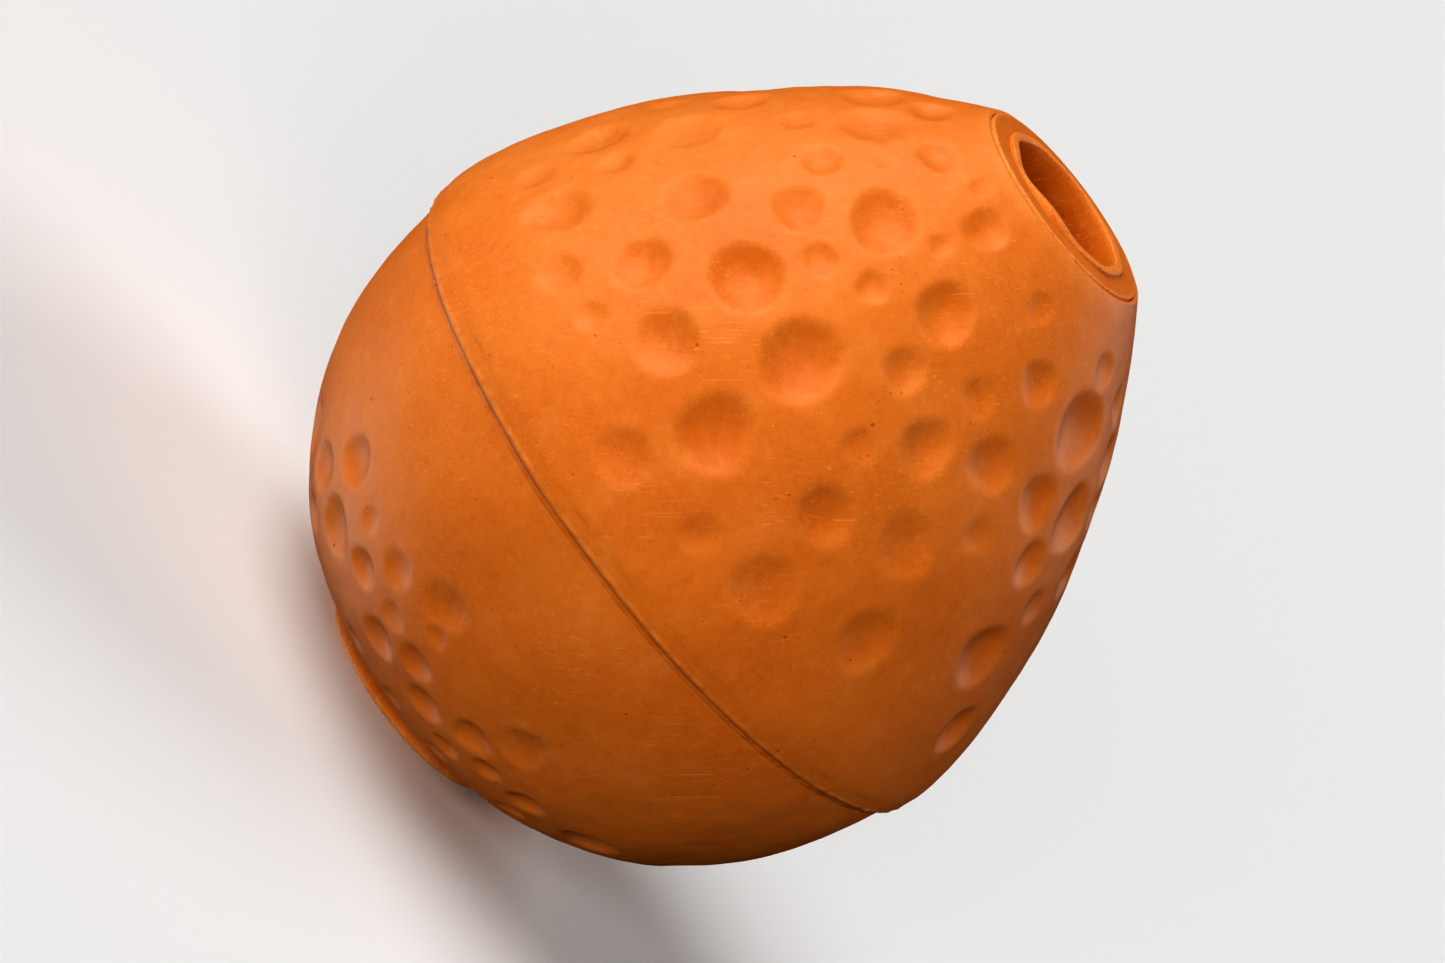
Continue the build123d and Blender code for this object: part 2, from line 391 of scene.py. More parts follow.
class NodeBench:
    """Builds one node tree."""

    def __init__(self, tree: bpy.types.NodeTree) -> None:
        """Empties the tree and keeps it."""
        self.tree = tree
        tree.nodes.clear()

    def node(
        self,
        kind: str,
        settings: dict[str, object] | None = None,
        values: dict[int | str, object] | None = None,
        output: int | str = 0,
    ) -> Signal:
        """Adds one node.

        Args:
            kind: Type of the node.
            settings: Its own properties, set before its sockets.
            values: For each input, by name or place, a signal or a plain value.
            output: The output to give back, by name or place.

        Returns:
            That output.
        """
        made = self.tree.nodes.new(kind)
        for name, value in (settings or {}).items():
            setattr(made, name, value)
        for name, value in (values or {}).items():
            if isinstance(value, Signal):
                self.tree.links.new(value.socket, made.inputs[name])
            else:
                made.inputs[name].default_value = value
        return Signal(self, made.outputs[output] if made.outputs else None)

    def noise(self, place: Signal, scale: float, detail: float = 2.0, seed: float = 0.0) -> Signal:
        """Soft noise from 0 to 1.

        Args:
            place: Where to read it, in millimetres.
            scale: Lumps to a millimetre.
            detail: How many finer layers it has.
            seed: Moves the pattern.

        Returns:
            The noise.
        """
        moved = self.node("ShaderNodeVectorMath", {"operation": "ADD"}, {0: place, 1: (seed,) * 3})
        return self.node(
            "ShaderNodeTexNoise",
            {"noise_dimensions": "3D"},
            {"Vector": moved, "Scale": scale, "Detail": detail, "Roughness": 0.55},
        )

    def dots(self, place: Signal, scale: float, size: float, share: float) -> Signal:
        """Small round spots scattered over a surface.

        Args:
            place: Where to read them, in millimetres.
            scale: Cells to a millimetre, with at most one spot each.
            size: Radius of a spot as a share of its cell.
            share: Share of the cells that have one.

        Returns:
            A mask that is 1 inside a spot.
        """
        settings = {"voronoi_dimensions": "3D", "feature": "F1"}
        values = {"Vector": place, "Scale": scale, "Randomness": 1.0}
        distance = self.node("ShaderNodeTexVoronoi", settings, values, "Distance")
        colour = self.node("ShaderNodeTexVoronoi", settings, values, "Color")
        pick = self.node("ShaderNodeSeparateColor", {}, {0: colour}, "Red")
        green = self.node("ShaderNodeSeparateColor", {}, {0: colour}, "Green")
        varied = distance - 0.6 * size * green
        return varied.between(size, 0.4 * size) * pick.between(share, 0.8 * share)

    def mix(self, factor: Signal, first: object, second: object) -> Signal:
        """Mixes two colours by a factor."""
        return self.node(
            "ShaderNodeMix", {"data_type": "RGBA"}, {0: factor, 6: first, 7: second}, 2
        )


Colour = tuple[float, float, float, float]


@dataclass(frozen=True)
class RubberFinish:
    """Matt natural rubber: bloomed and scuffed, with painted shade in its hollows and painted
    highlights on its edges.
    """

    name: str
    body: Colour = (0.78, 0.221, 0.026, 1.0)
    # darker tone: random mottling, pits and the painted shade in the craters and recesses
    deep: Colour = (0.50, 0.085, 0.0010, 1.0)
    # paler tone: rubber bloom, dust, wear and painted highlights on edges
    bloom: Colour = (0.92, 0.34, 0.085, 1.0)
    roughness: float = 0.50
    roughness_spread: float = 0.16
    grain: float = 0.020  # height of the fine grain in millimetres
    lumps: float = 0.05  # height of the low lumps the mould leaves
    pits: float = 0.05  # depth of the scattered pits
    scuffs: float = 1.0
    gloss: float = 0.38  # strength of its reflections
    hollow_shade: float = 0.18  # how much painted shade darkens the craters, the bore and the crevice under the shoulder
    scuff_turn: tuple[float, float, float] = (0.0, -0.888, 0.336)  # radians, from X to the scuffs

    def make(self) -> bpy.types.Material:
        """Builds the material.

        Returns:
            The material.
        """
        material = bpy.data.materials.new(self.name)
        material.use_nodes = True
        bench = NodeBench(material.node_tree)
        place = bench.node(
            "ShaderNodeMapping",
            {},
            {"Vector": bench.node("ShaderNodeTexCoord", {}, {}, "Object"), "Scale": (1 / MM,) * 3},
        )
        turned = bench.node(
            "ShaderNodeMapping",
            {"vector_type": "TEXTURE"},
            {"Vector": place, "Rotation": self.scuff_turn, "Scale": (13.0, 0.32, 0.32)},
        )
        cloud = bench.noise(place, 0.045, 4.0)
        patch = bench.noise(place, 0.16, 3.0, 31.0)
        grain = bench.noise(place, 2.6, 4.0, 7.0)
        fine = bench.noise(place, 7.5, 2.0, 3.0)
        lumps = bench.noise(place, 0.38, 2.0, 17.0)
        freckles = bench.noise(place, 0.9, 4.0, 71.0)
        streaks = bench.noise(turned, 1.0, 3.0)
        scuffed_areas = bench.noise(place, 0.07, 2.0, 53.0).between(0.40, 0.58)
        scratched = streaks.between(0.58, 0.71) * scuffed_areas
        flecked_areas = bench.noise(place, 0.12, 3.0, 91.0).between(0.54, 0.66)
        flecks = bench.dots(place, 1.2, 0.17, 0.55) * flecked_areas
        pits = bench.dots(place, 0.30, 0.055, 0.45)
        dust = bench.dots(place, 0.42, 0.05, 0.22)
        # marks the recesses (crater bowls, the bore, the crevice under the shoulder) that are
        # darkened as painted shade
        painted_shade_mask = bench.node("ShaderNodeAttribute", {"attribute_name": "painted_shade_mask"}, {}, "Fac")
        # marks edges that are lightened, partly by wear and partly as painted highlight
        wear_and_highlight = bench.node("ShaderNodeAttribute", {"attribute_name": "wear_and_highlight"}, {}, "Fac")

        # painted shade in the recesses, then random mottling of the rubber's tone
        painted_shade = painted_shade_mask * self.hollow_shade * patch.between(0.25, 0.6)
        darker = (
            painted_shade
            + 0.14 * cloud.between(0.56, 0.34)
            + 0.13 * freckles.between(0.48, 0.30)
            + 0.09 * grain.between(0.55, 0.35)
        )
        bloom_and_highlight = (
            0.16 * cloud.between(0.50, 0.68)
            + 0.16 * patch.between(0.52, 0.72)
            + 0.50 * scratched * self.scuffs
            + 0.15 * freckles.between(0.52, 0.72)
            # lighter edges: partly wear, partly painted highlight
            + 0.80 * wear_and_highlight * grain.between(0.25, 0.55)
            + 0.10 * fine.between(0.52, 0.75)
        )
        colour = bench.mix(darker, self.body, self.deep)
        colour = bench.mix(bloom_and_highlight, colour, self.bloom)
        colour = bench.mix(0.75 * pits + 0.5 * flecks * self.scuffs, colour, self.deep)
        colour = bench.mix(0.6 * dust, colour, self.bloom)
        roughness = (
            self.roughness
            + self.roughness_spread * (patch - 0.5)
            + 0.10 * grain
            + 0.12 * scratched * self.scuffs
        )
        height = (
            self.grain * (grain + 0.5 * fine)
            + self.lumps * lumps
            - self.pits * pits
            - 0.02 * self.scuffs * flecks
            - 0.012 * self.scuffs * scratched
            + 0.015 * dust
        )
        bump = bench.node("ShaderNodeBump", {}, {"Distance": MM, "Strength": 1.0, "Height": height})
        surface = bench.node(
            "ShaderNodeBsdfPrincipled",
            {},
            {
                "Base Color": colour,
                "Roughness": roughness,
                "Normal": bump,
                "IOR": 1.5,
                "Specular IOR Level": self.gloss,
            },
        )
        bench.node("ShaderNodeOutputMaterial", {}, {"Surface": surface})
        return material


@dataclass(frozen=True)
class Seats:
    """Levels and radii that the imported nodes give, which every sub-assembly is fitted to."""

    widest_r: float
    seam_z: float
    rim_z: float
    spigot_top: float
    pad_r: float
    pad_top: float
    floor_z: float
    flange_r: float
    sleeve_z: float
    lip_top: float
    bead_top: float

    @classmethod
    def read(cls) -> "Seats":
        """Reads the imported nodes' boxes."""

        def corner(node: str, end: int, axis: int) -> float:
            """One coordinate of a node's box, in millimetres."""
            return round(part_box(node)[end][axis] / MM, 3)

        return cls(
            widest_r=corner("upper_shell", 1, 0),
            seam_z=corner("upper_shell", 0, 2),
            rim_z=corner("upper_shell", 1, 2),
            spigot_top=corner("lower_shell", 1, 2),
            pad_r=corner("base_plug", 1, 0),
            pad_top=corner("lower_shell", 0, 2),
            floor_z=corner("base_plug", 1, 2),
            flange_r=corner("mouth_ring", 1, 0),
            sleeve_z=corner("mouth_ring", 0, 2),
            lip_top=corner("mouth_ring", 1, 2),
            bead_top=corner("seam_bead", 1, 2),
        )


@dataclass(frozen=True)
class SpunPart:
    """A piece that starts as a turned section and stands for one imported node."""

    seats: Seats
    gap: float = 0.1  # between each spigot, sleeve or stem and its hole
    steps: int = 480
    crisp_angle: float = math.radians(38)
    warp: float = 0.12  # how far the moulding is from true
    warp_length: float = 22.0
    warp_seed: int = 11

    name: str = ""
    node: str = ""
    slot: Slot = Slot.MOULDED

    def section(self) -> HalfSection:
        """Draws the piece's half section."""
        raise NotImplementedError

    def form(self, points: np.ndarray) -> tuple[np.ndarray, dict[str, np.ndarray]]:
        """Moves the turned piece's points to where the moulding has them.

        Args:
            points: Rows of x, y, z of the turned section.

        Returns:
            The moved points, and the values that the finish reads.
        """
        raise NotImplementedError

    def warped(self, points: np.ndarray) -> np.ndarray:
        """How far each point lies out from true, fading towards the mouth and the pad."""
        low, high = self.seats.pad_top, self.seats.rim_z
        fade = np.clip((points[:, 2] - low) / 8, 0, 1) * np.clip((high - points[:, 2]) / 8, 0, 1)
        return self.warp * fade * Waves(self.warp_seed, self.warp_length).at(points)

    def build(self, finish: bpy.types.Material) -> bpy.types.Object:
        """Makes the piece and dresses it.

        Args:
            finish: Its material.

        Returns:
            The finished object.
        """
        mesh = self.section().spin(self.steps)
        mesh.name = self.name
        points = np.empty(len(mesh.vertices) * 3)
        mesh.vertices.foreach_get("co", points)
        points, values = self.form(points.reshape(-1, 3))
        mesh.vertices.foreach_set("co", (points * MM).ravel())
        for name, each in values.items():
            mesh.attributes.new(name, "FLOAT", "POINT").data.foreach_set("value", each)
        mesh.polygons.foreach_set("use_smooth", [True] * len(mesh.polygons))
        mesh.set_sharp_from_angle(angle=self.crisp_angle)
        mesh.materials.append(finish)
        mesh.update()
        piece = bpy.data.objects.new(self.name, mesh)
        bpy.context.scene.collection.objects.link(piece)
        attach(piece, "root")
        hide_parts(self.node)
        log.info("%s: %d faces, for %s", self.name, len(mesh.polygons), self.node)
        return piece


def outward(points: np.ndarray, normals: np.ndarray, distance: np.ndarray) -> np.ndarray:
    """Moves points along directions given in the plane of radius and height.

    Args:
        points: Rows of x, y, z.
        normals: Rows of (r, z), each a unit vector.
        distance: How far each point moves.

    Returns:
        The moved points.
    """
    radius = np.hypot(points[:, 0], points[:, 1])
    moved = points.copy()
    moved[:, :2] += points[:, :2] * (normals[:, 0] * distance / radius)[:, None]
    moved[:, 2] += normals[:, 1] * distance
    return moved


@dataclass(frozen=True)
class Shell(SpunPart):
    """What the two halves of the hollow body share: a wall, an outline and its craters."""

    wall: float = 7.0
    spigot_wall: float = 3.5
    crater_seed: int = 5
    micro_warp: float = 0.02
    micro_length: float = 5.0

    def outline(self) -> Outline:
        """The outside."""
        raise NotImplementedError

    def craters(self) -> CraterField:
        """What is pressed into it."""
        raise NotImplementedError

    def edge_wear_and_highlight(self, points: np.ndarray) -> np.ndarray:
        """How much each point is lightened by wear and painted highlight, before the craters' edges
        are added.
        """
        raise NotImplementedError

    def ridge(self, points: np.ndarray) -> np.ndarray:
        """How far each point stands out because of the moulding's rolled edge."""
        raise NotImplementedError

    def form(self, points: np.ndarray) -> tuple[np.ndarray, dict[str, np.ndarray]]:
        """Presses the craters in and lets the wall run out of true.

        Args:
            points: Rows of x, y, z of the turned section.

        Returns:
            The moved points, and the values "sunk" (painted shade) and "worn" (wear and painted
            highlight).
        """
        outline = self.outline()
        radius = np.hypot(points[:, 0], points[:, 1])
        outside = np.abs(radius - outline.radius(points[:, 2])) < 0.02
        low, high = sorted((outline.widest_z, outline.end_z))
        outside &= (points[:, 2] > low - 0.01) & (points[:, 2] < high + 0.01)
        depth, edge = np.zeros(len(points)), np.zeros(len(points))
        depth[outside], edge[outside] = self.craters().depths(points[outside])
        micro = self.micro_warp * Waves(self.warp_seed + 1, self.micro_length).at(points)
        shift = self.warped(points) + self.ridge(points) + np.where(outside, micro - depth, 0)
        # Edges and crater rims are lightened as wear and painted highlight; crater bowls are marked
        # for painted shade
        wear_and_highlight = np.clip(self.edge_wear_and_highlight(points) + 0.08 * edge, 0, 1)
        painted_shade_mask = np.clip(depth / 0.9, 0, 1)
        return outward(points, outline.normal(points[:, 2]), shift), {"painted_shade_mask": painted_shade_mask, "wear_and_highlight": wear_and_highlight}


@dataclass(frozen=True)
class UpperShell(Shell):
    """Tapered upper half, with the shoulder that stands over the seam."""

    name: str = "upper_shell_skin"
    node: str = "upper_shell"
    outer_rows: int = 146
    inner_rows: int = 22
    plump: float = 1.4
    fall: float = 1.6
    shoulder_rise: float = 3.0
    shoulder_drop: float = 0.65
    shoulder_round: float = 0.30
    lip: float = 0.17  # height of the rolled lip
    lip_rise: float = 0.45  # how far its crest is above the bead
    valley: float = 0.09
    bead_depth: float = 0.85
    rim_width: float = 0.5
    flange_thick: float = 3.0
    flange_width: float = 1.25
    rim_round: float = 0.16
    rim_drop: float = 0.3

    @property
    def widest_z(self) -> float:
        """Level of the shoulder."""
        return self.seats.seam_z + self.shoulder_rise

    def outline(self) -> Outline:
        """The outside, from the shoulder to the rim."""
        seats = self.seats
        rim_r = seats.flange_r + self.gap + self.rim_width
        return Outline(seats.widest_r, self.widest_z, rim_r, seats.rim_z, self.plump, self.fall)

    def craters(self) -> CraterField:
        """The upper half's craters."""
        return CraterField(self.outline(), BODY_CRATERS, self.crater_seed)

    def edge_wear_and_highlight(self, points: np.ndarray) -> np.ndarray:
        """Wear and painted highlight along the shoulder's edge and the rim round the mouth."""
        height = points[:, 2]
        radius = np.hypot(points[:, 0], points[:, 1])
        shoulder = np.exp(-(((height - self.seats.bead_top - self.lip_rise) / 0.3) ** 2))
        rim = np.exp(-(((height - self.seats.rim_z) / 0.8) ** 2))
        return np.where(radius > self.seats.flange_r, 0.5 * shoulder + 0.4 * rim, 0)

    def ridge(self, points: np.ndarray) -> np.ndarray:
        """The rolled lip along the shoulder's lower edge, with a shallow valley above it."""
        climb = points[:, 2] - self.seats.bead_top - self.lip_rise
        uneven = 1 + 0.4 * Waves(51, 1.6).at(points * [1, 1, 0])
        lip = self.lip * uneven * np.exp(-((climb / 0.42) ** 2))
        valley = self.valley * np.exp(-(((climb - 1.5) / 0.7) ** 2))
        radius = np.hypot(points[:, 0], points[:, 1])
        return np.where(radius > self.seats.widest_r - 1, lip - valley, 0)

    def section(self) -> HalfSection:
        """Draws the shoulder, the outside, the stepped hole, the cavity and the rebate."""
        seats, outline = self.seats, self.outline()
        edge_r = seats.widest_r - self.shoulder_drop
        bead_r = edge_r - self.bead_depth
        climb = self.widest_z - seats.bead_top
        arc_r = (self.shoulder_drop**2 + climb**2) / (2 * self.shoulder_drop)
        turns = np.linspace(math.asin(climb / arc_r), 0, 21)
        shoulder = np.stack(
            [seats.widest_r - arc_r * (1 - np.cos(turns)), self.widest_z - arc_r * np.sin(turns)],
            axis=1,
        )
        outside = outline.outer(self.widest_z, self.outer_rows)
        sleeve_r = seats.flange_r - self.flange_width + self.gap
        flange_z = seats.rim_z + self.rim_drop - self.flange_thick
        inside = outline.inner(self.widest_z, self.inner_rows * 6, self.wall)
        rebate_z = seats.spigot_top + self.gap
        inside = inside[(inside[:, 0] > sleeve_r) & (inside[:, 1] > rebate_z)][::-6]
        spigot_r = LowerShell(seats).spigot_r + self.gap
        section = HalfSection().corner(spigot_r, seats.seam_z).corner(bead_r, seats.seam_z)
        section.corner(bead_r, seats.bead_top).corner(*shoulder[0], self.shoulder_round)
        section.curve(shoulder).curve(outside, self.rim_round)
        section.corner(seats.flange_r + self.gap, seats.rim_z, self.rim_round)
        section.corner(seats.flange_r + self.gap, flange_z).corner(sleeve_r, flange_z)
        section.corner(*inside[0]).curve(inside).corner(inside[-1][0], rebate_z)
        return section.corner(spigot_r, rebate_z)


@dataclass(frozen=True)
class LowerShell(Shell):
    """Dome, with the spigot that centres the upper half."""

    name: str = "lower_shell_skin"
    node: str = "lower_shell"
    crater_seed: int = 8
    outer_rows: int = 122
    inner_rows: int = 22
    plump: float = 2.8
    fall: float = 1.75
    dome_step: float = 1.0
    dome_rise: float = 2.3
    pad_shelf: float = 0.3
    shelf_round: float = 0.12
    seam_round: float = 0.12
    spigot_lead: float = 0.6
    stem_r: float = 6.0

    @property
    def spigot_r(self) -> float:
        """Outside of the spigot."""
        first = self.seats.seam_z
        return float(self.outline().inner(first, 2, self.wall)[0][0]) + self.spigot_wall

    def outline(self) -> Outline:
        """The outside, from the seam to the shelf round the pad."""
        seats = self.seats
        return Outline(
            seats.widest_r - self.dome_step,
            seats.seam_z + self.dome_rise,
            seats.pad_r + self.pad_shelf,
            seats.pad_top,
            self.plump,
            self.fall,
        )

    def craters(self) -> CraterField:
        """The dome's craters."""
        return CraterField(self.outline(), DOME_CRATERS, self.crater_seed)

    def edge_wear_and_highlight(self, points: np.ndarray) -> np.ndarray:
        """Wear where the dome turns towards the pad."""
        return 0.45 * np.exp(-(((points[:, 2] - self.seats.pad_top) / 1.2) ** 2))

    def ridge(self, points: np.ndarray) -> np.ndarray:
        """The dome has none."""
        return np.zeros(len(points))

    def section(self) -> HalfSection:
        """Draws the outside, the seat of the pad, the cavity and the spigot."""
        seats, outline = self.seats, self.outline()
        outside = outline.outer(seats.seam_z, self.outer_rows)
        inside = outline.inner(seats.seam_z, self.inner_rows, self.wall)[::-1]
        hole_r = self.stem_r + self.gap
        cavity_r = self.spigot_r - self.spigot_wall
        section = HalfSection().corner(*outside[0], self.seam_round)
        section = section.curve(outside, self.shelf_round)
        section.corner(hole_r, seats.pad_top).corner(hole_r, inside[0][1]).corner(*inside[0])
        section.curve(inside).corner(cavity_r, seats.spigot_top)
        section.corner(self.spigot_r - self.spigot_lead, seats.spigot_top)
        section.corner(self.spigot_r, seats.spigot_top - self.spigot_lead)
        return section.corner(self.spigot_r, seats.seam_z)


@dataclass(frozen=True)
class SeamBead(SpunPart):
    """Bonding rubber squeezed out under the shoulder, trimmed by hand and never even."""

    name: str = "seam_bead_flash"
    node: str = "seam_bead"
    slot: Slot = Slot.BONDING
    steps: int = 960
    bead_depth: float = 0.85
    shoulder_drop: float = 0.65
    proud: float = 0.03
    groove: float = 0.16  # how far its top stays back, under the shoulder
    uneven: float = 0.05
    nicks: float = 0.12
    tags: float = 0.45  # how far the few untrimmed tags stand out

    def section(self) -> HalfSection:
        """Draws the bead with a bulging outside."""
        seats = self.seats
        crown_r = seats.widest_r - self.shoulder_drop
        foot_r = float(LowerShell(seats).outline().radius(seats.seam_z)) + self.proud
        turns = np.linspace(0, 1, 9)
        bulge = np.stack(
            [
                foot_r
                + (crown_r - self.groove - foot_r) * turns
                + self.proud * np.sin(math.pi * turns**0.8),
                seats.seam_z + (seats.bead_top - seats.seam_z) * turns,
            ],
            axis=1,
        )
        inner_r = crown_r - self.bead_depth
        section = HalfSection().corner(inner_r, seats.seam_z).corner(*bulge[0]).curve(bulge)
        return section.corner(inner_r, seats.bead_top)

    def form(self, points: np.ndarray) -> tuple[np.ndarray, dict[str, np.ndarray]]:
        """Makes the outside uneven, with nicks where it was trimmed.

        Args:
            points: Rows of x, y, z of the turned section.

        Returns:
            The moved points, and the values "sunk" (painted shade) and "worn" (wear and painted
            highlight).
        """
        seats = self.seats
        radius = np.hypot(points[:, 0], points[:, 1])
        inner_r = seats.widest_r - self.shoulder_drop - self.bead_depth
        free = np.clip((radius - inner_r - 0.3) / 0.3, 0, 1)
        ring = points * [1, 1, 0]
        uneven = self.uneven * Waves(21, 4.0).at(ring) + 0.5 * self.uneven * Waves(22, 1.2).at(ring)
        nicked = self.nicks * np.clip(Waves(23, 6.0).at(ring) - 1.5, 0, 1)
        tagged = self.tags * np.clip(3 * (Waves(24, 3.0).at(ring) - 2.2), 0, 1)
        shift = self.warped(points) + free * (uneven - nicked + tagged)
        sideways = np.tile([1.0, 0.0], (len(points), 1))
        # Painted shade in the crevice under the shoulder; the untrimmed tags are lightened as wear
        # and painted highlight
        crevice = np.clip((points[:, 2] - seats.bead_top + 0.4) / 0.3, 0, 1)
        values = {"painted_shade_mask": free * crevice, "wear_and_highlight": free * tagged / self.tags}
        return outward(points, sideways, shift), values


@dataclass(frozen=True)
class MouthRing(SpunPart):
    """Throat insert: flat face, raised lip and the bore of the treat hole."""

    name: str = "mouth_ring_insert"
    node: str = "mouth_ring"
    steps: int = 320
    bore_r: float = 8.95
    lip_width: float = 1.3
    lip_height: float = 0.5
    sleeve_wall: float = 3.0
    flange_thick: float = 3.0
    edge_round: float = 0.25
    lip_uneven: float = 0.10
    bore_uneven: float = 0.09

    def section(self) -> HalfSection:
        """Draws the sleeve, the flange and the lip."""
        seats = self.seats
        face_z = seats.lip_top - self.lip_height
        flange_z = face_z - self.flange_thick
        sleeve_r, lip_r = self.bore_r + self.sleeve_wall, self.bore_r + self.lip_width
        bore_levels = np.linspace(seats.lip_top, seats.sleeve_z, 13)
        bore = np.stack([np.full(len(bore_levels), self.bore_r), bore_levels], axis=1)
        face = np.stack([np.linspace(seats.flange_r, lip_r, 7), np.full(7, face_z)], axis=1)
        section = HalfSection().corner(sleeve_r, seats.sleeve_z).corner(sleeve_r, flange_z)
        section.corner(seats.flange_r, flange_z).corner(seats.flange_r, face_z, self.edge_round)
        section.curve(face, 0.12).corner(lip_r, seats.lip_top, self.edge_round)
        return section.corner(self.bore_r, seats.lip_top, self.edge_round).curve(bore, 0.2)

    def form(self, points: np.ndarray) -> tuple[np.ndarray, dict[str, np.ndarray]]:
        """Lets the lip and the bore wander a little.

        Args:
            points: Rows of x, y, z of the turned section.

        Returns:
            The moved points, and the values "sunk" (painted shade) and "worn" (wear and painted
            highlight).
        """
        radius = np.hypot(points[:, 0], points[:, 1])
        face_z = self.seats.lip_top - self.lip_height
        on_lip = np.clip((points[:, 2] - face_z + 0.05) / self.lip_height, 0, 1)
        in_bore = np.clip((self.bore_r + self.lip_width - radius) / self.lip_width, 0, 1)
        ring = points * [1, 1, 0.3]
        moved = points.copy()
        moved[:, 2] += on_lip * self.lip_uneven * Waves(31, 9.0).at(ring)
        sideways = np.tile([1.0, 0.0], (len(points), 1))
        shift = self.bore_uneven * np.maximum(on_lip, in_bore) * Waves(32, 8.0).at(ring)
        # Lip and face edge lightened as wear and painted highlight; the bore darkens with depth as
        # painted shade
        wear_and_highlight = np.clip(on_lip * 0.8 + np.exp(-(((radius - self.seats.flange_r) / 0.3) ** 2)), 0, 1)
        inside = np.clip((self.bore_r + 0.4 - radius) / 0.4, 0, 1)
        depth = np.clip((self.seats.lip_top - 0.8 - points[:, 2]) / 4, 0, 1)
        return outward(moved, sideways, shift), {"painted_shade_mask": inside * depth, "wear_and_highlight": wear_and_highlight * (1 - depth)}


@dataclass(frozen=True)
class BasePad(SpunPart):
    """Pad that the toy stands on, with the vented stem that closes the dome."""

    name: str = "base_pad"
    node: str = "base_plug"
    steps: int = 256
    stem_r: float = 6.0
    vent_r: float = 2.0
    pad_round: float = 0.6
    edge_round: float = 0.2
    uneven: float = 0.05
    skirt: float = 0.45  # flash that spreads from the pad's top edge over the dome
    skirt_thick: float = 0.22
    torn: float = 0.42  # how far the skirt's edge wanders

    def section(self) -> HalfSection:
        """Draws the pad, the skirt of flash, the stem and the vent."""
        seats = self.seats
        side_z = seats.pad_top - self.skirt_thick
        side = np.stack([np.full(5, seats.pad_r), np.linspace(0, side_z, 5)], axis=1)
        section = HalfSection().corner(self.vent_r, 0, self.edge_round)
        section.corner(seats.pad_r, 0, self.pad_round).curve(side)
        section.corner(seats.pad_r + self.skirt, seats.pad_top - 0.1)
        section.corner(seats.pad_r + self.skirt, seats.pad_top)
        section.corner(self.stem_r, seats.pad_top).corner(self.stem_r, seats.floor_z)
        return section.corner(self.vent_r, seats.floor_z)

    def form(self, points: np.ndarray) -> tuple[np.ndarray, dict[str, np.ndarray]]:
        """Lets the pad's edge wander a little, and keeps its foot flat.

        Args:
            points: Rows of x, y, z of the turned section.

        Returns:
            The moved points, and the values "sunk" and "worn".
        """
        radius = np.hypot(points[:, 0], points[:, 1])
        ring = points * [1, 1, 0]
        rim = np.clip((radius - self.stem_r - 2) / 4, 0, 1)
        torn = np.clip((radius - self.seats.pad_r) / self.skirt, 0, 1)
        ragged = self.torn * (Waves(42, 2.2).at(ring) + np.clip(Waves(43, 5.0).at(ring), 0, 2))
        shift = rim * self.uneven * Waves(41, 9.0).at(ring) + torn * np.maximum(ragged, -self.skirt)
        moved = outward(points, np.tile([1.0, 0.0], (len(points), 1)), shift)
        moved[:, 2] += torn * self.rise(np.hypot(moved[:, 0], moved[:, 1]))
        wear_and_highlight = np.clip(rim * np.exp(-((points[:, 2] / 0.8) ** 2)) + torn, 0, 1)
        return moved, {"painted_shade_mask": np.zeros(len(points)), "wear_and_highlight": wear_and_highlight}

    def rise(self, radius: np.ndarray) -> np.ndarray:
        """How far the dome's underside has risen from the pad's top at each radius."""
        outline = LowerShell(self.seats).outline()
        levels = outline.heights(outline.end_z, outline.widest_z, 60)
        return np.interp(radius, outline.radius(levels), levels) - self.seats.pad_top


@dataclass(frozen=True)
class SoftLight:
    """A large, distant studio light."""

    name: str
    clock: float  # degrees anticlockwise round the picture, from its right
    tilt: float  # degrees towards the camera; a negative one is behind the toy
    strength: float
    spread: float = 35.0  # apparent width in degrees
    shines: bool = True  # whether it shows in the rubber's gloss

    def place(self, view: Matrix) -> bpy.types.Object:
        """Adds the light to the scene.

        Args:
            view: The camera's right, top and back, as columns.

        Returns:
            The light.
        """
        clock, tilt = math.radians(self.clock), math.radians(self.tilt)
        flat = math.cos(tilt)
        towards = view @ Vector((flat * math.cos(clock), flat * math.sin(clock), math.sin(tilt)))
        data = bpy.data.lights.new(self.name, "SUN")
        data.energy = self.strength
        data.angle = math.radians(self.spread)
        light = bpy.data.objects.new(self.name, data)
        light.rotation_euler = towards.to_track_quat("Z", "Y").to_euler()
        light.visible_glossy = self.shines
        bpy.context.scene.collection.objects.link(light)
        return light


